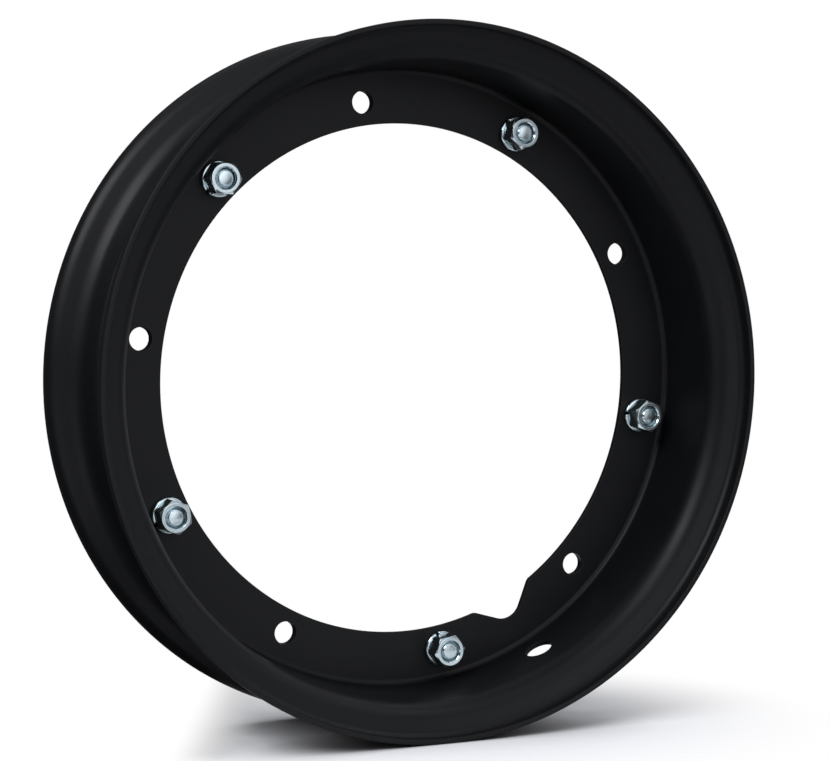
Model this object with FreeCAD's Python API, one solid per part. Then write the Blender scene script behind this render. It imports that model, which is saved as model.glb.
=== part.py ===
import FreeCAD, Part
import math
import os

# Split pressed-steel rim for a ten-inch scooter tyre: a wide and a narrow half, clamped disc to disc
# by five studs, spring washers and nuts. Millimetres and degrees.
# The wheel stands upright: its axis is Y, +Z is up, and the origin is the wheel's centre on the
# nut-side face of the wide half's disc. The wide half opens towards -Y and the narrow one towards +Y.

# Driving dimensions of both pressings
sheet = 2.0                      # thickness of the steel sheet
flange_dia = 278.4               # over the rolled lips
seat_dia = 254.0                 # bead seat, where the heel's round begins
wide_depth = 42.8                # disc face to the wide half's lip edge
rim_width = 72.7                 # lip edge to lip edge
lip_reach = 5.4                  # lip edge to the corner under the lip
seat_reach = 16.0                # lip edge to where the seat diameter is taken
seat_taper = 4.5                 # bead seat and barrel, towards the disc
flange_lean = 19.0               # flange wall, from square to the axis
disc_bend = 2.2                  # bend radii on the side that faces the axis
heel_bend = 10.0
lip_bend = 3.5

# Driving dimensions of the disc and its holes
opening_dia = 203.6              # centre opening of the wide half
opening_step = 2.0               # the narrow half's edge stands this far back
bolt_circle_dia = 222.0          # hub holes and clamp studs, alternately
bolt_count = 5
first_hub_hole = 98.855          # clock angle of the top hub hole, from +X towards +Z
hub_hole_dia = 9.0
stud_hole_dia = 8.4              # clearance hole in the wide half

# Valve: a radial hole in the wide barrel and a notch in both disc edges, about midway between
# a clamp stud and a hub hole
valve_step = 162.2               # clockwise from the top hub hole
valve_hole_dia = 11.3
valve_hole_inset = 12.3          # disc face to the hole's axis
notch_angle = 95.0               # between the sides of the notch
notch_bottom_radius = 8.0
notch_depth_radius = 110.6       # wheel centre to the bottom of the notch
notch_mouth_round = 4.5

# Driving dimensions of the fasteners
stud_dia = 8.0
stud_end_flat_dia = 5.6          # flat left by the chamfer on the stud's end
stud_end_drop = 0.3              # the end lies this far below the nut's top
stud_head_dia = 13.0
stud_head_height = 3.0
stud_head_round = 1.0
washer_dia = 14.4
washer_bore_dia = 8.3
washer_height = 2.0
washer_gap = 1.3                 # the split, cut on a slant
washer_slant = 25.0
nut_flats = 12.0
nut_height = 7.5
nut_top_dia = 11.3               # circle left on top by the chamfer
nut_chamfer = 30.0
nut_sink_dia = 9.0               # countersink at both ends of the thread
# How each washer and nut came to rest, in the order of the studs: clock angle of the washer's split
# and of one corner of the nut
washer_turns = (134.0, 172.0, 112.0, 215.0, 230.0)
nut_turns = (17.5, 39.5, 9.0, 41.0, 58.0)

# Worked out from the above
lip_radius = flange_dia / 2 - sheet
narrow_depth = rim_width - wide_depth
pitch_radius = bolt_circle_dia / 2
bolt_step = 360.0 / bolt_count
first_stud = first_hub_hole - bolt_step / 2
valve_turn = first_hub_hole - valve_step
hub_turns = [first_hub_hole - bolt_step * i for i in range(bolt_count)]
stud_turns = [first_stud - bolt_step * i for i in range(bolt_count)]
nut_top = -washer_height - nut_height
overcut = 5.0                    # how far a cutter runs past the face it cuts
clearance = 0.2                  # how far a cutter keeps off a face it doesn't cut

centre = FreeCAD.Vector(0, 0, 0)
axis = FreeCAD.Vector(0, 1, 0)


def on_wheel(radius, turn, y):
    """Point at a radius, clock angle and place along the axis."""
    angle = math.radians(turn)
    return FreeCAD.Vector(radius * math.cos(angle), y, radius * math.sin(angle))


def rounded_run(points, radii):
    """Edges of an open run of straight lines whose inner corners are rounded by tangent arcs."""
    edges = []
    start = points[0]
    for before, corner, after, radius in zip(points, points[1:], points[2:], radii):
        back = (before - corner).normalize()
        ahead = (after - corner).normalize()
        half_angle = back.getAngle(ahead) / 2
        arc_start = corner + back * (radius / math.tan(half_angle))
        arc_end = corner + ahead * (radius / math.tan(half_angle))
        middle = (back + ahead).normalize() * (radius / math.sin(half_angle) - radius)
        edges.append(Part.makeLine(start, arc_start))
        edges.append(Part.Arc(arc_start, corner + middle, arc_end).toShape())
        start = arc_end
    edges.append(Part.makeLine(start, points[-1]))
    return edges


def turned(outline):
    """Solid of a closed outline in the half plane x = radius, revolved about the wheel's axis."""
    return Part.Face(Part.Wire(outline)).revolve(centre, axis, 360)


def half_pressing(opening_radius, face_y, lip_y, way):
    """One rim half: disc, tapered barrel, leaning flange wall and lip, as one bent sheet.

    The run follows the side of the sheet that faces the axis. way is -1 or +1, the direction along
    the axis in which the half opens.
    """
    taper = math.tan(math.radians(seat_taper))
    lean = math.tan(math.radians(flange_lean))
    seat_radius = seat_dia / 2 - sheet
    seat_y = lip_y - way * seat_reach
    # where the barrel's line and the flange wall's line cross, counted back from the lip edge
    heel_reach = lip_reach + (lip_radius - seat_radius - taper * seat_reach) * lean
    heel_reach /= 1 - taper * lean
    heel_radius = seat_radius + taper * (seat_reach - heel_reach)
    corner_radius = seat_radius - taper * abs(seat_y - face_y)
    run = [
        FreeCAD.Vector(opening_radius, face_y, 0),
        FreeCAD.Vector(corner_radius, face_y, 0),
        FreeCAD.Vector(heel_radius, lip_y - way * heel_reach, 0),
        FreeCAD.Vector(lip_radius, lip_y - way * lip_reach, 0),
        FreeCAD.Vector(lip_radius, lip_y, 0),
    ]
    inner = Part.Wire(rounded_run(run, (disc_bend, heel_bend, lip_bend)))
    section = inner.makeOffset2D(way * sheet, fill=True, openResult=True)
    return section.revolve(centre, axis, 360)


def drill(radius, turn, diameter):
    """Cutter for a hole through both discs."""
    start = on_wheel(radius, turn, -overcut)
    return Part.makeCylinder(diameter / 2, 2 * (overcut + sheet), start, axis)


def notch_cutter(set_back):
    """Cutter for the valve notch: a V with a round bottom and rounded mouth corners.

    set_back widens the notch all round, for the half whose edges stand back.
    """
    half = math.radians(notch_angle / 2)
    tip = notch_depth_radius - notch_bottom_radius + notch_bottom_radius / math.sin(half)
    tip += set_back / math.sin(half)
    mouth = opening_dia / 2 + set_back
    # the V's side meets the opening's circle: distance along the side from its tip
    along = tip * math.cos(half) - math.sqrt(mouth ** 2 - (tip * math.sin(half)) ** 2)
    mouth_in = tip - along * math.cos(half)
    mouth_out = along * math.sin(half)
    # the cutter ends a little inside the opening's circle, so that it leaves no sliver
    end_turn = math.atan2(mouth_out, mouth_in) + overcut / mouth
    end_in = (mouth - clearance) * math.cos(end_turn)
    end_out = (mouth - clearance) * math.sin(end_turn)
    run = [
        FreeCAD.Vector(end_in, 0, -end_out),
        FreeCAD.Vector(mouth_in, 0, -mouth_out),
        FreeCAD.Vector(tip, 0, 0),
        FreeCAD.Vector(mouth_in, 0, mouth_out),
        FreeCAD.Vector(end_in, 0, end_out),
    ]
    radii = (notch_mouth_round, notch_bottom_radius + set_back, notch_mouth_round)
    edges = rounded_run(run, radii)
    edges.append(Part.makeLine(run[-1], run[0]))
    face = Part.Face(Part.Wire(edges))
    cutter = face.extrude(axis * (2 * (overcut + sheet)))
    cutter.translate(axis * -overcut)
    cutter.rotate(centre, axis, -valve_turn)
    return cutter


def rim_half_wide():
    """Near half: hub holes, clearance holes for the studs, valve notch and valve hole."""
    shape = half_pressing(opening_dia / 2, 0.0, -wide_depth, -1)
    cutters = [drill(pitch_radius, turn, hub_hole_dia) for turn in hub_turns]
    cutters += [drill(pitch_radius, turn, stud_hole_dia) for turn in stud_turns]
    cutters.append(notch_cutter(0.0))
    valve_start = on_wheel(pitch_radius, valve_turn, -valve_hole_inset)
    outward = on_wheel(1, valve_turn, 0)
    cutters.append(Part.makeCylinder(valve_hole_dia / 2, lip_radius - pitch_radius, valve_start, outward))
    return shape.cut(cutters)


def rim_half_narrow():
    """Far half: the studs are pressed into its disc, and its edges stand back from the near one's."""
    shape = half_pressing(opening_dia / 2 + opening_step, 2 * sheet, narrow_depth, 1)
    cutters = [drill(pitch_radius, turn, hub_hole_dia) for turn in hub_turns]
    cutters += [drill(pitch_radius, turn, stud_dia) for turn in stud_turns]
    cutters.append(notch_cutter(opening_step))
    return shape.cut(cutters)


def clamp_stud(turn):
    """Plain-headed stud: a low domed head behind the narrow half and a chamfered end in the nut."""
    end_y = nut_top + stud_end_drop
    head_y = 2 * sheet
    chamfer = (stud_dia - stud_end_flat_dia) / 2
    outline = [
        FreeCAD.Vector(0, end_y, 0),
        FreeCAD.Vector(stud_end_flat_dia / 2, end_y, 0),
        FreeCAD.Vector(stud_dia / 2, end_y + chamfer, 0),
        FreeCAD.Vector(stud_dia / 2, head_y, 0),
        FreeCAD.Vector(stud_head_dia / 2, head_y, 0),
    ]
    edges = [Part.makeLine(a, b) for a, b in zip(outline, outline[1:])]
    crown = [
        outline[-1],
        FreeCAD.Vector(stud_head_dia / 2, head_y + stud_head_height, 0),
        FreeCAD.Vector(0, head_y + stud_head_height, 0),
    ]
    edges += rounded_run(crown, (stud_head_round,))
    edges.append(Part.makeLine(crown[-1], outline[0]))
    shape = turned(edges)
    shape.translate(on_wheel(pitch_radius, turn, 0))
    return shape


def lock_washer(turn, split_turn):
    """Split spring washer, flattened under its nut."""
    ring = Part.makeCylinder(washer_dia / 2, washer_height, centre, -axis)
    ring = ring.cut(Part.makeCylinder(washer_bore_dia / 2, washer_height, centre, -axis))
    slit = Part.makeBox(washer_dia, 2 * washer_dia, washer_gap)
    slit.translate(FreeCAD.Vector(0, -washer_dia, -washer_gap / 2))
    slit.rotate(centre, FreeCAD.Vector(1, 0, 0), washer_slant)
    slit.translate(axis * (-washer_height / 2))
    slit.rotate(centre, axis, -split_turn)
    shape = ring.cut(slit)
    shape.translate(on_wheel(pitch_radius, turn, 0))
    return shape


def clamp_nut(turn, corner_turn):
    """Hexagon nut: flats cut from a turned blank with chamfered top and a countersunk bore."""
    foot_y = -washer_height
    corner_radius = nut_flats / 2 / math.cos(math.pi / 6)
    chamfer_drop = (corner_radius - nut_top_dia / 2) * math.tan(math.radians(nut_chamfer))
    sink = (nut_sink_dia - stud_dia) / 2
    outline = [
        FreeCAD.Vector(nut_sink_dia / 2, foot_y, 0),
        FreeCAD.Vector(corner_radius, foot_y, 0),
        FreeCAD.Vector(corner_radius, nut_top + chamfer_drop, 0),
        FreeCAD.Vector(nut_top_dia / 2, nut_top, 0),
        FreeCAD.Vector(nut_sink_dia / 2, nut_top, 0),
        FreeCAD.Vector(stud_dia / 2, nut_top + sink, 0),
        FreeCAD.Vector(stud_dia / 2, foot_y - sink, 0),
    ]
    outline.append(outline[0])
    blank = turned([Part.makeLine(a, b) for a, b in zip(outline, outline[1:])])
    corners = [on_wheel(corner_radius, corner_turn + 60 * i, foot_y) for i in range(7)]
    hexagon = Part.Face(Part.makePolygon(corners)).extrude(axis * -nut_height)
    shape = blank.common(hexagon)
    shape.translate(on_wheel(pitch_radius, turn, 0))
    return shape


def main():
    """Write each node's solids to its own file."""
    nodes = {
        "rim_half_wide": [rim_half_wide()],
        "rim_half_narrow": [rim_half_narrow()],
        "clamp_studs": [clamp_stud(turn) for turn in stud_turns],
        "lock_washers": [lock_washer(*pair) for pair in zip(stud_turns, washer_turns)],
        "clamp_nuts": [clamp_nut(*pair) for pair in zip(stud_turns, nut_turns)],
    }
    os.makedirs("parts", exist_ok=True)
    for name, shapes in nodes.items():
        solids = [solid for shape in shapes for solid in shape.Solids]
        node = solids[0] if len(solids) == 1 else Part.makeCompound(solids)
        node.exportStep("parts/" + name + ".step")
        volume = sum(solid.Volume for solid in solids)
        print(name, len(solids), "solids", round(volume, 1), "mm3", node.isValid())


main()
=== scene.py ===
import math

import bmesh
import bpy
import numpy as np
from bpy.props import FloatProperty, FloatVectorProperty, PointerProperty
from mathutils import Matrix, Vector


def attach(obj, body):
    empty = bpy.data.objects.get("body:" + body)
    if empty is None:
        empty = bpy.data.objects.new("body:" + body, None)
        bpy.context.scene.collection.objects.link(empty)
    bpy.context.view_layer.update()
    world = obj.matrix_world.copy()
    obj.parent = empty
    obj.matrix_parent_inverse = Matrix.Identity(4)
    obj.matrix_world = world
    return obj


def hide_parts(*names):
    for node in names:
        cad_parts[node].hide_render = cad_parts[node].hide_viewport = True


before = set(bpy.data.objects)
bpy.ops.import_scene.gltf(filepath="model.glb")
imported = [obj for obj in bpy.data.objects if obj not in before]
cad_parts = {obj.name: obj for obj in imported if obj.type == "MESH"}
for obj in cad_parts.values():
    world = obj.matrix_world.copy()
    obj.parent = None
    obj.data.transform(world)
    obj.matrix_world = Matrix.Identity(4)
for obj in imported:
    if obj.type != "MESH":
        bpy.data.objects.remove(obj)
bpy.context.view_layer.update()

bl_info = {
    "name": "Split scooter rim",
    "version": (1, 0, 0),
    "blender": (4, 5, 0),
    "location": "View3D > Sidebar > Rim",
    "description": "Builds the painted halves and plated fasteners of a split pressed-steel rim",
    "category": "Add Mesh",
}

MM = 0.001
BOLTS = 5
NUT_SIDES = 6
# Points closer than this are joined, in metres
WELD = 1e-7
# Clock angles, from +X towards +Z, of each washer's split and of one corner of each nut
WASHER_TURNS = (134.0, 172.0, 112.0, 215.0, 230.0)
NUT_TURNS = (17.5, 39.5, 9.0, 41.0, 58.0)
# Grid of a half: columns round the axis; how many on each side of the notch are split, and into how many
COLUMNS, NOTCH_COLUMNS, NOTCH_SPLIT = 300, 9, 4
# Steps along the disc, barrel, flange wall and lip, then round a bend, a lip's edge and a punched edge
SECTION_STEPS, BEND_STEPS, LIP_STEPS, CUT_STEPS = (14, 16, 5, 3), 12, 6, 5
# Level strip kept beside a bend, and share of the sheet within which a point counts as on the disc
BEND_MARGIN, DISC_SLACK = 0.25 * MM, 1.001
# Outline of the notch: steps along a line and round an arc, strip kept beside an arc, and how far past
# the mouth and how far inside the opening it begins
NOTCH_LINE_STEPS, NOTCH_ARC_STEPS, NOTCH_MARGIN = (12, 12, 12, 12), 40, 0.1 * MM
NOTCH_LEAD, NOTCH_INSIDE = 5 * MM, 0.2 * MM
# Windows in the grid round the holes: half-widths about the axis, distance from the opening's edge, and
# distance from the valve hole's edge along the axis
HOLE_WINDOW, VALVE_WINDOW = math.radians(6.1), math.radians(4.85)
HOLE_WINDOW_INSET, VALVE_WINDOW_MARGIN = 1.5 * MM, 4.5 * MM
# Rings round a hole: how far the outer one stands off its wall, and the second off its edge's round
COLLAR, COLLAR_FLAT = 1.2 * MM, 0.2 * MM
# Grid of the fasteners: columns round a stud, rows along its thread, steps round a washer, steps round
# its wire's corner, steps of the other small rounds, and steps along a nut's flat
STUD_COLUMNS, THREAD_ROWS, WASHER_STEPS, WIRE_STEPS, ROUND_STEPS, FLAT_STEPS = 64, 60, 72, 4, 6, 10
# Stud: length of the thread and of its run-out, share of the thread's depth cut off at crest and root,
# how far the crown ends inside the chamfer, chamfer under the head (out and along), row above it
THREAD_LENGTH, THREAD_RUN_OUT, THREAD_FLAT = 5 * MM, 0.6 * MM, 0.125
CROWN_INSET, HEAD_CHAMFER, HEAD_ROW = 0.12 * MM, (0.3 * MM, 0.2 * MM), 1.2 * MM
# Nut: round at the corners of its outline, and least angle of the edges that are rounded
NUT_CORNER, NUT_EDGE_ANGLE = 0.3 * MM, math.radians(22)
# Grain of the finishes: the paint's orange peel and dull patches, and the plate's clouds
PEEL_SIZE, DULL_SIZE, CLOUD_SIZE = 1.1 * MM, 35 * MM, 3 * MM
# Soft boxes: azimuth from the front towards the right, elevation, half-width and half-height in degrees
# as seen from the rim, distance in metres, level
SOFT_BOXES = {
    "soft_box_left": (292, 39, 24, 13, 0.9, 7.5),
    "soft_box_right": (95, 48, 20, 20, 2.5, 2.2),
    "soft_box_top": (0, 90, 30, 30, 2.5, 0.4),
    "soft_box_back": (180, 58, 20, 20, 2.5, 0.3),
}
# Glow on the studio's walls: azimuth, elevation, half-width, width of the fade either side of it, level
WALL_GLOW = (
    (12, 46, 30, 16, 0.6),
    (4, 12, 20, 10, 1.55),
    (60, 6, 22, 10, 0.8),
    (120, 4, 16, 8, 0.4),
)
# Level of the walls beside the glows, and half-width and fade of the white backdrop that reflections see
WALL_LEVEL, BACKDROP_HALF, BACKDROP_FADE = 0.05, 12, 2
# Way the camera stands from the rim, in the same terms, its distance, and the point it turns about
CAMERA_TURN, CAMERA_RISE, CAMERA_DISTANCE = -25.396, 2.990, 941.08 * MM
CAMERA_AIM = Vector((5.676, 0.0, -0.718)) * MM
# Its focal length and picture width in millimetres, and the nearest and furthest it sees in metres
CAMERA_LENS, CAMERA_SENSOR, CAMERA_CLIP = 101.78, 36.0, (0.05, 50.0)
# Paper under the rim, squared to the camera: its middle, and its half-sizes across and along the view
PAPER_MIDDLE, PAPER_HALF = Vector((0.004, 0.009, 0.0)), (0.205, 0.16)
# As shares of the half-sizes: where it begins and ends to turn plain white, where it is cut on the left,
# width of the fade there, and where in front the painted shade on that side, which darkens the paper's
# colour towards black, begins and is full
PAPER_FADE, PAPER_CUT, PAPER_CUT_FADE, PAPER_PAINTED_SHADE = (0.36, 0.9), -0.43, 0.16, (-0.55, -0.4)
# How far the painted shade in the gap under the rim reaches: within it ambient occlusion darkens the
# paper's colour
PAINTED_GAP_SHADE = 28 * MM
# Reflector cards on the floor out of the picture, in front and at the left: two opposite corners of each
CARDS = (((-1.5, -0.6), (1.5, -0.3)), ((-0.7, -0.3), (-0.17, -0.08)))


def linear(hex_colour):
    """sRGB hex value as linear red, green and blue."""
    value = np.array([int(hex_colour[i:i + 2], 16) for i in (1, 3, 5)]) / 255
    return tuple(np.where(value <= 0.04045, value / 12.92, ((value + 0.055) / 1.055) ** 2.4).tolist())


def length(name, description, millimetres):
    """Property for a length, given in millimetres and kept in metres."""
    return FloatProperty(name=name, description=description, default=millimetres * MM,
                         min=0.0, unit="LENGTH", precision=5)


def angle(name, description, degrees):
    """Property for an angle, given in degrees."""
    return FloatProperty(name=name, description=description, default=math.radians(degrees),
                         subtype="ANGLE")


def colour(name, description, hex_colour):
    """Property for a colour, given as an sRGB hex value."""
    return FloatVectorProperty(name=name, description=description, default=linear(hex_colour),
                               size=3, min=0.0, max=1.0, subtype="COLOR")


class RimPressing(bpy.types.PropertyGroup):
    """Section of the two pressed halves."""
    sheet: length("Sheet", "Thickness of the steel sheet", 2.0)
    flange_dia: length("Flange diameter", "Over the rolled lips", 278.4)
    seat_dia: length("Seat diameter", "Bead seat, where the heel's round begins", 254.0)
    wide_depth: length("Wide depth", "Disc face to the wide half's lip edge", 42.8)
    rim_width: length("Rim width", "Lip edge to lip edge", 72.7)
    lip_reach: length("Lip reach", "Lip edge to the corner under the lip", 5.4)
    seat_reach: length("Seat reach", "Lip edge to where the seat diameter is taken", 16.0)
    seat_taper: angle("Seat taper", "Slope of the bead seat and barrel towards the disc", 4.5)
    flange_lean: angle("Flange lean", "Flange wall, from square to the axis", 19.0)
    disc_bend: length("Disc bend", "Radius on the side that faces the axis", 2.2)
    heel_bend: length("Heel bend", "Radius on the side that faces the axis", 10.0)
    lip_bend: length("Lip bend", "Radius on the side that faces the axis", 3.5)
    cut_round: length("Cut edge round", "Round that the paint leaves on punched edges", 0.2)
    lip_round: length("Lip edge round", "Round on the lip's trimmed edge", 0.25)


class RimHoles(bpy.types.PropertyGroup):
    """Openings in the discs and in the wide barrel."""
    opening_dia: length("Centre opening", "Diameter of the wide half's opening", 203.6)
    opening_step: length("Opening step", "The narrow half's edge stands this far back", 2.0)
    bolt_circle_dia: length("Bolt circle", "Hub holes and clamp studs, alternately", 222.0)
    first_hub_hole: angle("First hub hole", "Clock angle of the top hub hole", 98.855)
    hub_hole_dia: length("Hub holes", "Diameter", 9.0)
    stud_hole_dia: length("Stud holes", "Clearance holes in the wide half", 8.4)
    valve_step: angle("Valve step", "Clockwise from the top hub hole to the valve", 162.2)
    valve_hole_dia: length("Valve hole", "Diameter of the hole in the wide barrel", 11.3)
    valve_hole_inset: length("Valve hole inset", "Disc face to the hole's axis", 12.3)
    notch_angle: angle("Notch angle", "Between the sides of the valve notch", 95.0)
    notch_bottom_radius: length("Notch bottom", "Radius at the bottom of the notch", 8.0)
    notch_depth_radius: length("Notch depth", "Wheel centre to the bottom of the notch", 110.6)
    notch_mouth_round: length("Notch mouth", "Radius at the corners of the notch", 4.5)


class RimFasteners(bpy.types.PropertyGroup):
    """Clamp studs, spring washers and nuts."""
    stud_dia: length("Stud", "Thread's outer diameter", 8.0)
    thread_pitch: length("Thread pitch", "Rise of one turn", 1.25)
    thread_depth: length("Thread depth", "Crest to root", 0.65)
    stud_end_flat_dia: length("Stud end", "Flat left by the chamfer on the stud's end", 5.6)
    stud_end_drop: length("Stud end drop", "The end lies this far below the nut's top", 0.3)
    stud_end_dome: length("Stud end dome", "Height of the end's crown", 0.15)
    stud_head_dia: length("Stud head", "Diameter of the head behind the narrow half", 13.0)
    stud_head_height: length("Stud head height", "Height of the head", 3.0)
    stud_head_round: length("Stud head round", "Radius round the head's rim", 1.0)
    washer_dia: length("Washer", "Outer diameter", 14.4)
    washer_bore_dia: length("Washer bore", "Inner diameter", 8.3)
    washer_height: length("Washer height", "Height when flattened", 2.0)
    washer_gap: length("Washer split", "Width of the split", 1.3)
    washer_slant: angle("Washer slant", "Slant of the split", 25.0)
    washer_round: length("Washer edges", "Round of the rolled wire's edges", 0.8)
    nut_flats: length("Nut flats", "Across flats", 12.0)
    nut_height: length("Nut height", "Height", 7.5)
    nut_top_dia: length("Nut top", "Circle left on top by the chamfer", 11.3)
    nut_chamfer: angle("Nut chamfer", "Slope of the chamfer", 30.0)
    nut_sink_dia: length("Nut countersink", "Diameter at both ends of the thread", 9.0)
    plate_round: length("Plated edges", "Round on the nuts' edges", 0.12)


class RimFinish(bpy.types.PropertyGroup):
    """Colours of the finishes, the floor and the light."""
    paint: colour("Paint", "Satin black powder coat", "#0B0C0D")
    paint_dust: colour("Paint haze", "Where the coat has dulled or gathered dust", "#101113")
    plate: colour("Plate", "Bright zinc plate with a blue passivation", "#CCD6D9")
    plate_film: colour("Plate film", "Where the passivation's film is thicker", "#BACDD2")
    floor: colour("Floor", "White paper", "#F7F7F7")
    light: colour("Light", "Slightly cool light of the studio", "#F8F9FF")


GROUPS = {
    "rim_pressing": RimPressing,
    "rim_holes": RimHoles,
    "rim_fasteners": RimFasteners,
    "rim_finish": RimFinish,
}


# Profiles

def rounded_run(points, radii, line_steps, arc_steps, margin):
    """Open run of straight lines with tangent arcs at its inner corners, as complex radius + i * axial.

    On a line from a to b a point is a + (b - a) * t, with extra points a margin away from both ends, so
    that the shading stays level up to the arc. On an arc it is the centre plus the first spoke turned
    by an even share of the angle between the tangent points.
    """
    parts = []
    start = points[0]
    corners = list(zip(points, points[1:], points[2:], radii)) + [None]
    for corner, steps in zip(corners, line_steps):
        if corner:
            before, middle, after, radius = corner
            back = (before - middle) / abs(before - middle)
            ahead = (after - middle) / abs(after - middle)
            half = abs(np.angle(ahead / back)) / 2
            end = middle + back * (radius / math.tan(half))
        else:
            end = points[-1]
        near = min(margin / abs(end - start), 0.2)
        spread = np.concatenate([[0.0], np.linspace(near, 1 - near, steps)])
        parts.append(start + (end - start) * spread)
        if corner:
            finish = middle + ahead * (radius / math.tan(half))
            centre = middle + (back + ahead) / abs(back + ahead) * (radius / math.sin(half))
            sweep = np.angle((finish - centre) / (end - centre))
            parts.append(centre + (end - centre) * np.exp(1j * sweep * np.arange(arc_steps) / arc_steps))
            start = finish
    parts.append([points[-1]])
    return np.concatenate(parts)


def sheet_side(run, thickness, way):
    """Other side of a bent sheet: each point of the run plus the thickness along the run's normal."""
    ahead = np.gradient(run)
    return run - way * thickness * 1j * ahead / abs(ahead)


def edge_round(radius, thickness, steps):
    """Trimmed edge of a sheet, from one face to the other: quarter round, flat and quarter round.

    Gives how far each point stands back from the edge and how deep it lies in the sheet.
    """
    quarter = np.linspace(0, math.pi / 2, steps)
    back = radius * (1 - np.sin(quarter))
    deep = radius * (1 - np.cos(quarter))
    return np.concatenate([back, back[::-1]]), np.concatenate([deep, thickness - deep[::-1]])


def wheel_point(radius, turn, y):
    """Points from radius, clock angle and place along the axis: (r cos t, y, r sin t)."""
    radius, turn, y = np.broadcast_arrays(radius, turn, y)
    return np.stack([radius * np.cos(turn), y, radius * np.sin(turn)], -1)


# Meshes

def ring_faces(ids, closed):
    """Quads between neighbours in a grid of vertex numbers; closed tells which ways wrap round."""
    for way, wraps in enumerate(closed):
        if wraps:
            ids = np.concatenate([ids, np.take(ids, [0], way)], way)
    return np.stack([ids[:-1, :-1], ids[1:, :-1], ids[1:, 1:], ids[:-1, 1:]], -1)


def make_piece(name, points, faces, material, node_name, slot):
    """One mesh object from arrays of points and lists of faces, standing for a CAD node."""
    mesh = bpy.data.meshes.new(name)
    mesh.from_pydata(points.tolist(), [], faces)
    work = bmesh.new()
    work.from_mesh(mesh)
    bmesh.ops.remove_doubles(work, verts=work.verts, dist=WELD)
    bmesh.ops.recalc_face_normals(work, faces=work.faces)
    work.to_mesh(mesh)
    work.free()
    mesh.polygons.foreach_set("use_smooth", np.ones(len(mesh.polygons), bool))
    mesh.materials.append(material)
    piece = bpy.data.objects.new(name, mesh)
    bpy.context.scene.collection.objects.link(piece)
    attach(piece, "root")
    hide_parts(node_name)
    return piece


def hub_turns(holes):
    """Clock angles of the hub holes."""
    return holes.first_hub_hole - np.arange(BOLTS) * math.tau / BOLTS


def stud_turns(holes):
    """Clock angles of the clamp studs, midway between the hub holes."""
    return hub_turns(holes) - math.pi / BOLTS


def valve_turn(holes):
    """Clock angle of the valve hole and its notch."""
    return holes.first_hub_hole - holes.valve_step


def clock_columns(holes):
    """Clock angles of the columns of a half: even steps, finer across the valve notch."""
    even = hub_turns(holes)[0] + np.arange(COLUMNS) * math.tau / COLUMNS
    split = np.linspace(-NOTCH_COLUMNS, NOTCH_COLUMNS, 2 * NOTCH_COLUMNS * NOTCH_SPLIT + 1)
    fine = valve_turn(holes) + split * math.tau / COLUMNS
    away = abs((even - valve_turn(holes) + math.pi) % math.tau - math.pi)
    turns = np.concatenate([even[away > (NOTCH_COLUMNS + 0.01) * math.tau / COLUMNS], fine])
    return np.sort((turns - valve_turn(holes) + math.pi) % math.tau) + valve_turn(holes) - math.pi


def opening_edge(holes, turns, set_back):
    """Radius of a disc's inner edge at each clock angle: the opening's circle, or the notch beyond it.

    The notch is a V with a round bottom and rounded mouth corners, read off in polar form.
    """
    half = holes.notch_angle / 2
    tip = holes.notch_depth_radius - holes.notch_bottom_radius
    tip += (holes.notch_bottom_radius + set_back) / math.sin(half)
    mouth = holes.opening_dia / 2 + set_back
    along = tip * math.cos(half) - math.sqrt(mouth ** 2 - (tip * math.sin(half)) ** 2)
    corner = tip - along * np.exp(1j * half)
    past = (mouth - NOTCH_INSIDE) * np.exp(1j * (np.angle(corner) - NOTCH_LEAD / mouth))
    run = [past, corner, tip + 0j, corner.conjugate(), past.conjugate()]
    radii = (holes.notch_mouth_round, holes.notch_bottom_radius + set_back, holes.notch_mouth_round)
    outline = rounded_run(run, radii, NOTCH_LINE_STEPS, NOTCH_ARC_STEPS, NOTCH_MARGIN)
    order = np.argsort(np.angle(outline))
    off = (turns - valve_turn(holes) + math.pi) % math.tau - math.pi
    notch = np.interp(off, np.angle(outline)[order], abs(outline)[order], left=0, right=0)
    return np.maximum(mouth, notch)


def half_section(pressing, opening_radius, face_y, lip_y, way):
    """Run along the side of the sheet that faces the axis: disc, barrel, flange wall and lip.

    The way is -1 where the lip points to -Y and +1 where it points to +Y.
    """
    taper = math.tan(pressing.seat_taper)
    lean = math.tan(pressing.flange_lean)
    lip_radius = pressing.flange_dia / 2 - pressing.sheet
    seat_radius = pressing.seat_dia / 2 - pressing.sheet
    heel_reach = pressing.lip_reach + (lip_radius - seat_radius - taper * pressing.seat_reach) * lean
    heel_reach /= 1 - taper * lean
    heel_radius = seat_radius + taper * (pressing.seat_reach - heel_reach)
    corner_radius = seat_radius - taper * abs(lip_y - way * pressing.seat_reach - face_y)
    run = [
        complex(opening_radius + pressing.cut_round, face_y),
        complex(corner_radius, face_y),
        complex(heel_radius, lip_y - way * heel_reach),
        complex(lip_radius, lip_y - way * pressing.lip_reach),
        complex(lip_radius, lip_y - way * pressing.lip_round),
    ]
    radii = (pressing.disc_bend, pressing.heel_bend, pressing.lip_bend)
    return rounded_run(run, radii, SECTION_STEPS, BEND_STEPS, BEND_MARGIN)


def window_loop(columns, rows):
    """Column and row numbers once round the border of a rectangular window in a grid."""
    wide, tall = len(columns), len(rows)
    right, left = np.full(tall - 2, columns[-1]), np.full(tall - 2, columns[0])
    column = np.concatenate([columns, right, columns[::-1], left])
    row = np.concatenate([np.full(wide, rows[0]), rows[1:-1], np.full(wide, rows[-1]), rows[-2:0:-1]])
    return column, row


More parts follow.
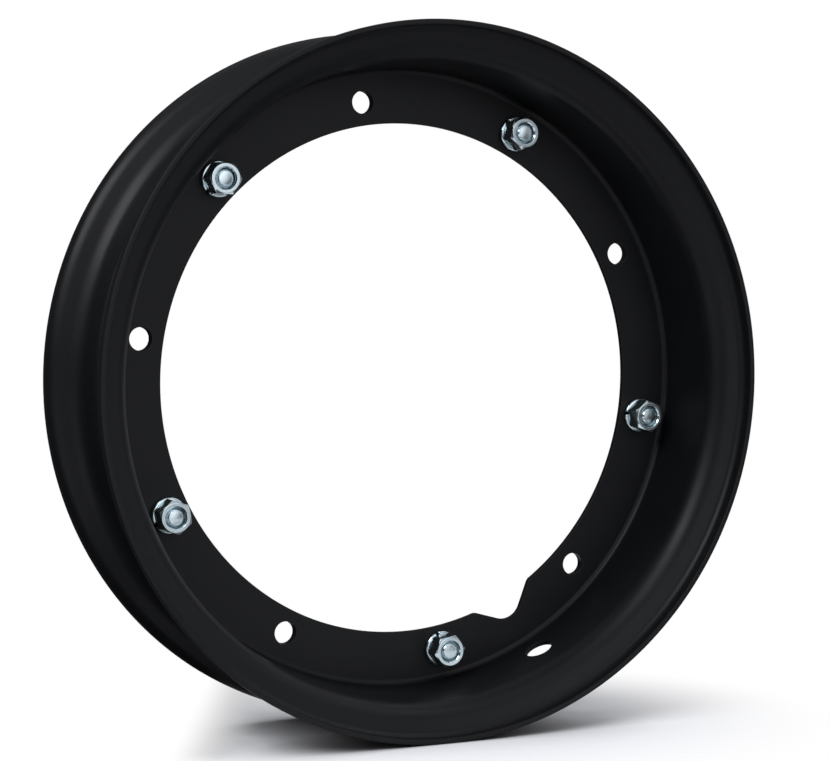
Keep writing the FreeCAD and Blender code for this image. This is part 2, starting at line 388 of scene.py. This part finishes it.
def painted_half(pressing, holes, opening_radius, face_y, lip_y, way, stud_hole_dia, valve):
    """Points and faces of one pressed half.

    The section is carried round the axis: point (r cos t, y, r sin t) for each section point (r, y) and
    clock angle t. The disc's rows are drawn between the opening's edge, which follows the valve notch,
    and the bend. Each hole replaces a window of that grid: rings about the hole's axis join the window's
    border on one side of the sheet, round the hole's edge, to its border on the other side.
    """
    turns = clock_columns(holes)
    front = half_section(pressing, opening_radius, face_y, lip_y, way)
    back = sheet_side(front, pressing.sheet, way)
    stand, deep = edge_round(pressing.lip_round, pressing.sheet, LIP_STEPS)
    lip = complex(front[-1].real, lip_y) + deep - 1j * way * stand
    disc_rows = SECTION_STEPS[0] + 1
    cut_back, cut_deep = edge_round(pressing.cut_round, pressing.sheet, CUT_STEPS)
    cut = complex(opening_radius, face_y) + cut_back[::-1] - 1j * way * cut_deep[::-1]
    section = np.concatenate([front, lip[1:-1], back[::-1], cut[1:-1]])
    size = len(front)
    radius = np.repeat(section.real[None, :], len(turns), 0)
    shift = opening_edge(holes, turns, opening_radius - holes.opening_dia / 2) - opening_radius
    bend_start = front[disc_rows].real
    disc_width = bend_start - opening_radius - pressing.cut_round
    share = np.clip((bend_start - section.real) / disc_width, 0, 1)
    on_disc = abs(section.imag - face_y) <= pressing.sheet * DISC_SLACK
    radius += np.where(on_disc, share, 0)[None, :] * shift[:, None]
    points = wheel_point(radius, turns[:, None], section.imag[None, :])
    ids = np.arange(points[..., 0].size).reshape(radius.shape)
    kept = np.ones(radius.shape, bool)
    extra_points, extra_faces = [], []

    def pierce(columns, rows, place):
        """Opens a window on both sides of the sheet and lines it with rings from place(border)."""
        mirrored = size + len(lip) - 2 + size - 1 - rows
        kept[np.ix_(columns[:-1], rows[:-1])] = False
        kept[np.ix_(columns[:-1], mirrored[1:])] = False
        column, row = window_loop(columns, np.arange(len(rows)))
        near_ids, far_ids = ids[column, rows[row]], ids[column, mirrored[row]]
        rings = place(points[column, rows[row]])
        first = ids.size + sum(len(p) for p in extra_points)
        ring_ids = first + np.arange(rings[..., 0].size).reshape(rings.shape[:2])
        extra_points.append(rings.reshape(-1, 3))
        tube = np.concatenate([near_ids[None], ring_ids, far_ids[None]])
        extra_faces.append(ring_faces(tube, (False, True)).reshape(-1, 4))

    off, depth = cut_back, cut_deep
    off = np.concatenate([[COLLAR, pressing.cut_round + COLLAR_FLAT], off])
    off = np.concatenate([off, off[1::-1]])
    depth = np.concatenate([[0, 0], depth, [pressing.sheet, pressing.sheet]])
    disc_window = np.arange(disc_rows)
    disc_window = disc_window[front[:disc_rows].real > opening_radius + HOLE_WINDOW_INSET]
    pitch = holes.bolt_circle_dia / 2
    hole_sets = ((hub_turns(holes), holes.hub_hole_dia), (stud_turns(holes), stud_hole_dia))
    for turn_list, diameter in hole_sets:
        for turn in turn_list:
            away = (turns - turn + math.pi) % math.tau - math.pi
            columns = np.flatnonzero(abs(away) < HOLE_WINDOW)
            columns = columns[np.argsort(away[columns])]
            middle = wheel_point(pitch, turn, face_y)

            def on_disc_ring(border, middle=middle, diameter=diameter):
                """Rings on the disc: hole's axis plus (radius + stand-off) towards the border point."""
                spoke = border - middle
                spoke /= np.linalg.norm(spoke, axis=1)[:, None]
                ring = middle + spoke[None] * (diameter / 2 + off)[:, None, None]
                ring[..., 1] = (face_y - way * depth)[:, None]
                return ring

            pierce(columns, disc_window, on_disc_ring)

    if valve:
        turn = valve_turn(holes)
        hole_y = face_y + way * holes.valve_hole_inset
        bore = holes.valve_hole_dia / 2
        beside = abs(front.imag - hole_y) < bore + VALVE_WINDOW_MARGIN
        barrel = np.flatnonzero(beside & (front.real < pressing.seat_dia / 2))
        columns = np.flatnonzero(abs(turns - turn) < VALVE_WINDOW)
        outward = wheel_point(1.0, turn, 0.0)
        across = wheel_point(1.0, turn + math.pi / 2, 0.0)
        slope = -way * math.tan(pressing.seat_taper)

        def on_barrel_ring(border):
            """Rings on the barrel's cone: across and along from the hole's axis, then out to the cone."""
            spoke = np.stack([border @ across, border[:, 1] - hole_y], -1)
            spoke /= np.linalg.norm(spoke, axis=1)[:, None]
            flat = spoke[None] * (bore + off)[:, None, None]
            cone = np.interp(hole_y, front.imag[barrel][::way], front.real[barrel][::way])
            cone = cone - slope * flat[..., 1] + depth[:, None] / math.cos(pressing.seat_taper)
            out = np.sqrt(cone ** 2 - flat[..., 0] ** 2)
            ring = out[..., None] * outward + flat[..., :1] * across
            ring[..., 1] = hole_y + flat[..., 1]
            return ring

        pierce(columns, barrel, on_barrel_ring)

    grid = ring_faces(ids, (True, True))[kept]
    all_points = np.concatenate([points.reshape(-1, 3)] + extra_points)
    return all_points, np.concatenate([grid] + extra_faces).tolist()


def at_studs(holes, shape_points, shape_faces):
    """Joins one fastener per stud: points (m, 3) for each about its own axis, moved to the stud."""
    points = np.concatenate([
        shape + wheel_point(holes.bolt_circle_dia / 2, turn, 0.0)
        for shape, turn in zip(shape_points, stud_turns(holes))
    ])
    size = len(shape_points[0])
    faces = [[v + size * i for v in face] for i in range(BOLTS) for face in shape_faces]
    return points, faces


def stud_shape(fasteners, pressing, turn):
    """Stud about its own axis: a section of radius over y, turned, whose end carries a screw thread.

    On the thread the radius is the outer radius less the depth times a triangle wave of
    y / pitch + turn, cut flat at crest and root, and never more than the chamfer's cone.
    """
    outer = fasteners.stud_dia / 2
    end_y = -fasteners.washer_height - fasteners.nut_height + fasteners.stud_end_drop
    head_y = 2 * pressing.sheet
    flat = fasteners.stud_end_flat_dia / 2
    head = fasteners.stud_head_dia / 2
    top = head_y + fasteners.stud_head_height
    clock = np.linspace(0, math.tau, STUD_COLUMNS, endpoint=False)
    threaded = end_y + np.linspace(0, 1, THREAD_ROWS) * THREAD_LENGTH
    wave = abs((threaded[:, None] / fasteners.thread_pitch + (clock + turn) / math.tau) % 1 * 2 - 1)
    cut = np.clip(wave * (1 + 2 * THREAD_FLAT) - THREAD_FLAT, 0, 1)
    thread = outer - fasteners.thread_depth * cut
    cone = flat + (threaded - end_y)
    thread = np.minimum(thread, cone[:, None])
    bend = np.linspace(0, math.pi / 2, ROUND_STEPS)
    under = [
        (outer, threaded[-1] + THREAD_RUN_OUT),
        (outer, head_y),
        (head - HEAD_CHAMFER[0], head_y),
        (head, head_y + HEAD_CHAMFER[1]),
        (head, head_y + HEAD_ROW),
    ]
    rest_r = np.concatenate([[r for r, _ in under],
                             head - fasteners.stud_head_round * (1 - np.cos(bend)), [0]])
    rest_y = np.concatenate([[y for _, y in under],
                             top - fasteners.stud_head_round * (1 - np.sin(bend)), [top]])
    start_r = (flat - CROWN_INSET) * np.linspace(0, 1, ROUND_STEPS)
    start_y = end_y - fasteners.stud_end_dome * (1 - (start_r / start_r[-1]) ** 2)
    start, rest = (np.repeat(part[:, None], STUD_COLUMNS, 1) for part in (start_r, rest_r))
    radius = np.concatenate([start, thread, rest])
    y = np.concatenate([start_y, threaded, rest_y])
    ids = np.arange(radius.size).reshape(radius.shape)
    points = wheel_point(radius, clock[None, :], y[:, None]).reshape(-1, 3)
    return points, ring_faces(ids, (False, True)).reshape(-1, 4).tolist()


def washer_shape(fasteners, split):
    """Split ring about its own axis: a rounded rectangle swept from one side of the split to the other.

    The clock angle is the split plus half the gap plus an even share of the rest, and it leans with y.
    """
    inner, outer = fasteners.washer_bore_dia / 2, fasteners.washer_dia / 2
    high, edge = fasteners.washer_height, fasteners.washer_round
    box = np.array([inner + edge - 1j * edge, outer - edge - 1j * edge,
                    outer - edge - 1j * (high - edge), inner + edge - 1j * (high - edge)])
    corner = np.array([math.pi, math.pi / 2, 0, -math.pi / 2])[:, None]
    bend = corner - np.linspace(0, math.pi / 2, WIRE_STEPS)
    section = (box[:, None] + edge * np.exp(1j * bend)).ravel()
    middle = (inner + outer) / 2
    gap = fasteners.washer_gap / middle
    along = np.linspace(gap / 2, math.tau - gap / 2, WASHER_STEPS)
    lean = (section.imag + high / 2) * math.tan(fasteners.washer_slant) / middle
    clock = split + along[:, None] + lean[None, :]
    points = wheel_point(section.real[None, :], clock, section.imag[None, :]).reshape(-1, 3)
    ids = np.arange(len(points)).reshape(clock.shape)
    faces = ring_faces(ids, (False, True)).reshape(-1, 4).tolist()
    return points, faces + [ids[0].tolist(), ids[-1].tolist()]


def nut_shape(fasteners, corner):
    """Hexagon nut about its own axis: a section over the hexagon's outline.

    The outline is six flats with small rounds at the corners. Each outline point is scaled inwards to
    the chamfer's circle, the countersink and the bore; the chamfer's cone meets the outline at
    top + (outline radius - circle) * tan(slope).
    """
    half_side, side_turn = math.pi / NUT_SIDES, math.tau / NUT_SIDES
    spread = np.linspace(-half_side, half_side, ROUND_STEPS)
    corner_middle = (fasteners.nut_flats / 2 - NUT_CORNER) / math.cos(half_side)
    arc = corner_middle + NUT_CORNER * np.exp(1j * spread)
    following = arc[0] * np.exp(1j * side_turn)
    side = arc[-1] + (following - arc[-1]) * np.linspace(0, 1, FLAT_STEPS)[1:-1]
    sixth = np.concatenate([arc, side])
    clock = corner + np.arange(NUT_SIDES)[:, None] * side_turn
    outline = (sixth[None, :] * np.exp(1j * clock)).ravel()
    spoke = outline / abs(outline)
    foot, top = -fasteners.washer_height, -fasteners.washer_height - fasteners.nut_height
    circle, sink, bore = fasteners.nut_top_dia / 2, fasteners.nut_sink_dia / 2, fasteners.stud_dia / 2
    slope = math.tan(fasteners.nut_chamfer)
    shoulder = top + (abs(outline) - circle) * slope
    level = np.ones(len(outline))
    rows = [
        (spoke * sink, level * foot),
        (spoke * circle, level * foot),
        (outline, foot - (abs(outline) - circle) * slope),
        (outline, shoulder),
        (spoke * circle, level * top),
        (spoke * sink, level * top),
        (spoke * bore, level * (top + sink - bore)),
        (spoke * bore, level * (foot - sink + bore)),
    ]
    flat = np.stack([row[0] for row in rows])
    y = np.stack([row[1] for row in rows])
    points = np.stack([flat.real, y, flat.imag], -1).reshape(-1, 3)
    ids = np.arange(len(points)).reshape(flat.shape)
    return points, ring_faces(ids, (True, True)).reshape(-1, 4).tolist()


# Materials

def node(tree, kind, inputs=None, **settings):
    """Adds a node, sets it up, and gives each named input a value or another node's output."""
    made = tree.nodes.new(kind)
    for name, value in settings.items():
        setattr(made, name, value)
    for name, value in (inputs or {}).items():
        if isinstance(value, bpy.types.NodeSocket):
            tree.links.new(value, made.inputs[name])
        else:
            made.inputs[name].default_value = value
    return made


def new_material(name):
    """Empty node material."""
    material = bpy.data.materials.new(name)
    material.use_nodes = True
    material.node_tree.nodes.clear()
    return material


def powder_coat():
    """Polyester powder coat, sprayed dry and baked: deep black that flows to a satin skin.

    The eye sees broad soft highlights, broken slightly by an orange peel of about a millimetre, and
    patches a few centimetres wide where the skin is a little duller and lighter with haze.
    """
    finish = bpy.context.scene.rim_finish
    material = bpy.data.materials.get("powder_coated_steel_satin_black")
    if material:
        return material
    material = new_material("powder_coated_steel_satin_black")
    tree = material.node_tree
    place = node(tree, "ShaderNodeTexCoord").outputs["Object"]
    peel = node(tree, "ShaderNodeTexNoise", {"Vector": place, "Scale": 1 / PEEL_SIZE, "Detail": 2.0})
    dull = node(tree, "ShaderNodeTexNoise", {"Vector": place, "Scale": 1 / DULL_SIZE, "Detail": 4.0})
    rough = node(tree, "ShaderNodeMapRange", {
        "Value": dull.outputs["Fac"], "From Min": 0.3, "From Max": 0.7, "To Min": 0.38, "To Max": 0.48})
    tone = node(tree, "ShaderNodeMix", {
        "Factor": dull.outputs["Fac"], "A": (*finish.paint, 1.0), "B": (*finish.paint_dust, 1.0)},
        data_type="RGBA")
    bump = node(tree, "ShaderNodeBump", {
        "Height": peel.outputs["Fac"], "Strength": 0.12, "Distance": 0.05 * MM})
    shader = node(tree, "ShaderNodeBsdfPrincipled", {
        "Base Color": tone.outputs["Result"], "Roughness": rough.outputs["Result"],
        "Normal": bump.outputs["Normal"], "IOR": 1.5, "Specular IOR Level": 0.18})
    node(tree, "ShaderNodeOutputMaterial", {"Surface": shader.outputs["BSDF"]})
    return material


def zinc_plate():
    """Bright zinc electroplate on steel, with a thin blue passivation.

    The eye sees a cool mirror that is softened by the plated grain, a little cloudier in patches.
    """
    finish = bpy.context.scene.rim_finish
    material = bpy.data.materials.get("zinc_plated_steel_blue_passivated")
    if material:
        return material
    material = new_material("zinc_plated_steel_blue_passivated")
    tree = material.node_tree
    place = node(tree, "ShaderNodeTexCoord").outputs["Object"]
    cloud = node(tree, "ShaderNodeTexNoise", {"Vector": place, "Scale": 1 / CLOUD_SIZE, "Detail": 3.0})
    rough = node(tree, "ShaderNodeMapRange", {
        "Value": cloud.outputs["Fac"], "From Min": 0.3, "From Max": 0.7, "To Min": 0.12, "To Max": 0.22})
    film = node(tree, "ShaderNodeMix", {
        "Factor": cloud.outputs["Fac"], "A": (*finish.plate, 1.0), "B": (*finish.plate_film, 1.0)},
        data_type="RGBA")
    shader = node(tree, "ShaderNodeBsdfPrincipled", {
        "Base Color": film.outputs["Result"], "Metallic": 1.0, "Roughness": rough.outputs["Result"]})
    node(tree, "ShaderNodeOutputMaterial", {"Surface": shader.outputs["BSDF"]})
    return material


def seen_as_background(tree, glossy_share):
    """Share of white that a ray meets: all of it for a camera ray, and as stated for a reflected one."""
    path = node(tree, "ShaderNodeLightPath")
    shown = node(tree, "ShaderNodeMath", {
        0: path.outputs["Is Glossy Ray"], 1: glossy_share}, operation="MULTIPLY")
    either = node(tree, "ShaderNodeMath", {
        0: path.outputs["Is Camera Ray"], 1: shown.outputs["Value"]}, operation="MAXIMUM")
    return either.outputs["Value"]


def white_paper():
    """Matt white paper, lit and shaded like any surface near the rim, with painted shade in the gap under
    it.

    The camera sees it plain white away from the rim and at its cut left side. On that side, except at its
    front, the paper's colour is painted darker towards black: painted shade, which also keeps the lip
    from mirroring a bright line.
    """
    finish = bpy.context.scene.rim_finish
    low = bpy.context.scene.rim_pressing.flange_dia / -2
    material = new_material("matt_white_paper")
    tree = material.node_tree
    place = node(tree, "ShaderNodeTexCoord").outputs["Object"]
    sheet = node(tree, "ShaderNodeMapping", {
        "Vector": place, "Location": (*PAPER_MIDDLE.xy, low),
        "Rotation": (0.0, 0.0, math.radians(CAMERA_TURN)), "Scale": (*PAPER_HALF, 1.0)},
        vector_type="TEXTURE")
    reach = node(tree, "ShaderNodeVectorMath", {0: sheet.outputs["Vector"]}, operation="LENGTH")
    far = node(tree, "ShaderNodeMapRange", {
        "Value": reach.outputs["Value"], "From Min": PAPER_FADE[0], "From Max": PAPER_FADE[1]},
        interpolation_type="SMOOTHSTEP")
    side = node(tree, "ShaderNodeSeparateXYZ", {"Vector": sheet.outputs["Vector"]})
    left = node(tree, "ShaderNodeMapRange", {
        "Value": side.outputs["X"], "From Min": PAPER_CUT + PAPER_CUT_FADE, "From Max": PAPER_CUT},
        interpolation_type="SMOOTHSTEP")
    plain = node(tree, "ShaderNodeMath", {
        0: far.outputs["Result"], 1: left.outputs["Result"]}, operation="MAXIMUM")
    path = node(tree, "ShaderNodeLightPath")
    seen = node(tree, "ShaderNodeMath", {
        0: plain.outputs["Value"], 1: path.outputs["Is Camera Ray"]}, operation="MULTIPLY")
    # Painted shade: ambient occlusion darkens the paper's colour in the gap under the rim
    shade = node(tree, "ShaderNodeAmbientOcclusion", {
        "Color": (*finish.floor, 1.0), "Distance": PAINTED_GAP_SHADE})
    # Painted shade: on the cut left side, except at its front, the paper's colour is mixed towards black,
    # which also keeps the lip from mirroring it
    near = node(tree, "ShaderNodeMapRange", {
        "Value": side.outputs["Y"], "From Min": PAPER_PAINTED_SHADE[0], "From Max": PAPER_PAINTED_SHADE[1]},
        interpolation_type="SMOOTHSTEP")
    corner = node(tree, "ShaderNodeMath", {
        0: left.outputs["Result"], 1: near.outputs["Result"]}, operation="MULTIPLY")
    painted_shade = node(tree, "ShaderNodeMix", {
        "Factor": corner.outputs["Value"], "A": shade.outputs["Color"], "B": (0.0, 0.0, 0.0, 1.0)},
        data_type="RGBA")
    paper = node(tree, "ShaderNodeBsdfDiffuse", {"Color": painted_shade.outputs["Result"]})
    white = node(tree, "ShaderNodeEmission", {"Color": (1, 1, 1, 1), "Strength": 1.0})
    mix = node(tree, "ShaderNodeMixShader", {
        0: seen.outputs["Value"], 1: paper.outputs["BSDF"], 2: white.outputs["Emission"]})
    node(tree, "ShaderNodeOutputMaterial", {"Surface": mix.outputs["Shader"]})
    return material


def stage_way(azimuth, elevation):
    """Unit vector from the rim: azimuth from the front (-Y) towards the right (+X), both in degrees."""
    turn, rise = math.radians(azimuth), math.radians(elevation)
    return Vector((math.sin(turn) * math.cos(rise), -math.cos(turn) * math.cos(rise), math.sin(rise)))


# Operators

class RIM_OT_wide_half(bpy.types.Operator):
    """Build the wide half: the near pressing with the valve hole"""
    bl_idname = "rim.wide_half"
    bl_label = "Wide half"

    def execute(self, context):
        pressing, holes = context.scene.rim_pressing, context.scene.rim_holes
        shape = painted_half(pressing, holes, holes.opening_dia / 2, 0.0, -pressing.wide_depth, -1,
                             holes.stud_hole_dia, True)
        make_piece("wide_half", *shape, powder_coat(), "rim_half_wide", "black_paint")
        return {"FINISHED"}


class RIM_OT_narrow_half(bpy.types.Operator):
    """Build the narrow half: the far pressing that carries the studs"""
    bl_idname = "rim.narrow_half"
    bl_label = "Narrow half"

    def execute(self, context):
        pressing, holes = context.scene.rim_pressing, context.scene.rim_holes
        opening_radius = holes.opening_dia / 2 + holes.opening_step
        lip_y = pressing.rim_width - pressing.wide_depth
        shape = painted_half(pressing, holes, opening_radius, 2 * pressing.sheet, lip_y, 1,
                             context.scene.rim_fasteners.stud_dia, False)
        make_piece("narrow_half", *shape, powder_coat(), "rim_half_narrow", "black_paint")
        return {"FINISHED"}


class RIM_OT_studs(bpy.types.Operator):
    """Build the clamp studs with their threaded ends"""
    bl_idname = "rim.studs"
    bl_label = "Clamp studs"

    def execute(self, context):
        holes, fasteners = context.scene.rim_holes, context.scene.rim_fasteners
        pressing = context.scene.rim_pressing
        shapes = [stud_shape(fasteners, pressing, turn) for turn in stud_turns(holes)]
        shape = at_studs(holes, [s[0] for s in shapes], shapes[0][1])
        make_piece("threaded_studs", *shape, zinc_plate(), "clamp_studs", "zinc_plate")
        return {"FINISHED"}


class RIM_OT_washers(bpy.types.Operator):
    """Build the split spring washers"""
    bl_idname = "rim.washers"
    bl_label = "Spring washers"

    def execute(self, context):
        holes, fasteners = context.scene.rim_holes, context.scene.rim_fasteners
        shapes = [washer_shape(fasteners, math.radians(turn)) for turn in WASHER_TURNS]
        shape = at_studs(holes, [s[0] for s in shapes], shapes[0][1])
        make_piece("spring_washers", *shape, zinc_plate(), "lock_washers", "zinc_plate")
        return {"FINISHED"}


class RIM_OT_nuts(bpy.types.Operator):
    """Build the chamfered hexagon nuts"""
    bl_idname = "rim.nuts"
    bl_label = "Clamp nuts"

    def execute(self, context):
        holes, fasteners = context.scene.rim_holes, context.scene.rim_fasteners
        shapes = [nut_shape(fasteners, math.radians(turn)) for turn in NUT_TURNS]
        shape = at_studs(holes, [s[0] for s in shapes], shapes[0][1])
        piece = make_piece("hexagon_nuts", *shape, zinc_plate(), "clamp_nuts", "zinc_plate")
        bevel = piece.modifiers.new("plated edges", "BEVEL")
        bevel.width = fasteners.plate_round
        bevel.segments = 2
        bevel.limit_method = "ANGLE"
        bevel.angle_limit = NUT_EDGE_ANGLE
        bevel.harden_normals = True
        return {"FINISHED"}


class RIM_OT_stage(bpy.types.Operator):
    """Build the white floor, the soft light and the camera"""
    bl_idname = "rim.stage"
    bl_label = "Stage"

    def execute(self, context):
        scene = context.scene
        scene.view_settings.view_transform = "Standard"
        self.floor(scene)
        self.world(scene)
        self.lamps(scene)
        self.camera(scene)
        return {"FINISHED"}

    def floor(self, scene):
        """Paper under the lips and, out of the picture, the reflector cards."""
        low = scene.rim_pressing.flange_dia / -2
        across = stage_way(CAMERA_TURN + 90, 0) * PAPER_HALF[0]
        along = stage_way(CAMERA_TURN + 180, 0) * PAPER_HALF[1]
        outline = ((PAPER_CUT, -1), (1, -1), (1, 1), (PAPER_CUT, 1))
        corners = [(PAPER_MIDDLE + across * i + along * j).xy for i, j in outline]
        for (left, front), (right, back) in CARDS:
            corners += [(left, front), (right, front), (right, back), (left, back)]
        faces = np.arange(len(corners)).reshape(-1, len(outline)).tolist()
        mesh = bpy.data.meshes.new("floor")
        mesh.from_pydata([(*corner, low) for corner in corners], [], faces)
        mesh.materials.append(white_paper())
        floor = bpy.data.objects.new("floor", mesh)
        scene.collection.objects.link(floor)

    def world(self, scene):
        """Dim studio with soft glows on its walls.

        The camera sees plain white instead, and reflections see the white backdrop behind the rim.
        """
        world = bpy.data.worlds.new("white_studio")
        scene.world = world
        world.use_nodes = True
        tree = world.node_tree
        tree.nodes.clear()
        way = node(tree, "ShaderNodeTexCoord").outputs["Generated"]

        def disc(azimuth, elevation, half, soft, level):
            """Level inside a disc on the sky, fading to 0 across its soft edge."""
            near = node(tree, "ShaderNodeVectorMath", {0: way, 1: stage_way(azimuth, elevation)},
                        operation="DOT_PRODUCT")
            fade = node(tree, "ShaderNodeMapRange", {
                "Value": near.outputs["Value"], "From Min": math.cos(math.radians(half + soft)),
                "From Max": math.cos(math.radians(half - soft)), "To Max": level},
                interpolation_type="SMOOTHSTEP")
            return fade.outputs["Result"]

        level = WALL_LEVEL
        for glow in WALL_GLOW:
            total = node(tree, "ShaderNodeMath", {0: level, 1: disc(*glow)}, operation="ADD")
            level = total.outputs["Value"]
        backdrop = disc(CAMERA_TURN + 180, -CAMERA_RISE, BACKDROP_HALF, BACKDROP_FADE, 1.0)
        seen = seen_as_background(tree, backdrop)
        bright = node(tree, "ShaderNodeMix", {"Factor": seen, "A": level, "B": 1.0})
        tint = node(tree, "ShaderNodeMix", {
            "Factor": seen, "A": (*scene.rim_finish.light, 1.0), "B": (1, 1, 1, 1)}, data_type="RGBA")
        shader = node(tree, "ShaderNodeBackground", {
            "Color": tint.outputs["Result"], "Strength": bright.outputs["Result"]})
        node(tree, "ShaderNodeOutputWorld", {"Surface": shader.outputs["Background"]})

    def lamps(self, scene):
        """Soft boxes all round; a lamp of radiance L and area A gives L * pi * A watts."""
        for name, (azimuth, elevation, wide, high, distance, level) in SOFT_BOXES.items():
            lamp = bpy.data.lights.new(name, "AREA")
            lamp.shape = "RECTANGLE"
            lamp.color = scene.rim_finish.light
            lamp.size = 2 * distance * math.tan(math.radians(wide))
            lamp.size_y = 2 * distance * math.tan(math.radians(high))
            lamp.energy = level * math.pi * lamp.size * lamp.size_y
            box = bpy.data.objects.new(name, lamp)
            box.location = stage_way(azimuth, elevation) * distance
            box.rotation_euler = (-box.location).to_track_quat("-Z", "Y").to_euler()
            box.visible_camera = False
            scene.collection.objects.link(box)

    def camera(self, scene):
        """Camera low on the left of the wheel, looking a little down."""
        lens = bpy.data.cameras.new("camera")
        lens.lens = CAMERA_LENS
        lens.sensor_width = CAMERA_SENSOR
        lens.clip_start, lens.clip_end = CAMERA_CLIP
        camera = bpy.data.objects.new("camera", lens)
        back = stage_way(CAMERA_TURN, CAMERA_RISE)
        camera.location = back * CAMERA_DISTANCE + CAMERA_AIM
        camera.rotation_euler = (-back).to_track_quat("-Z", "Y").to_euler()
        scene.collection.objects.link(camera)
        scene.camera = camera


PIECES = (
    RIM_OT_wide_half, RIM_OT_narrow_half, RIM_OT_studs, RIM_OT_washers, RIM_OT_nuts, RIM_OT_stage,
)


class RIM_PT_panel(bpy.types.Panel):
    """Sizes, colours and pieces of the rim"""
    bl_idname = "RIM_PT_panel"
    bl_label = "Split rim"
    bl_space_type = "VIEW_3D"
    bl_region_type = "UI"
    bl_category = "Rim"

    def draw(self, context):
        for operator in PIECES:
            self.layout.operator(operator.bl_idname)
        for group in GROUPS:
            column = self.layout.column()
            for name in GROUPS[group].__annotations__:
                column.prop(getattr(context.scene, group), name)


def register():
    """Adds the property groups, the operators and the panel."""
    for group, kind in GROUPS.items():
        bpy.utils.register_class(kind)
        setattr(bpy.types.Scene, group, PointerProperty(type=kind))
    for kind in (*PIECES, RIM_PT_panel):
        bpy.utils.register_class(kind)


def unregister():
    """Takes them away again."""
    for kind in (RIM_PT_panel, *reversed(PIECES)):
        bpy.utils.unregister_class(kind)
    for group, kind in GROUPS.items():
        delattr(bpy.types.Scene, group)
        bpy.utils.unregister_class(kind)


def main():
    """Builds every piece."""
    register()
    bpy.ops.rim.wide_half()
    bpy.ops.rim.narrow_half()
    bpy.ops.rim.studs()
    bpy.ops.rim.washers()
    bpy.ops.rim.nuts()
    bpy.ops.rim.stage()


if __name__ == "__main__":
    main()
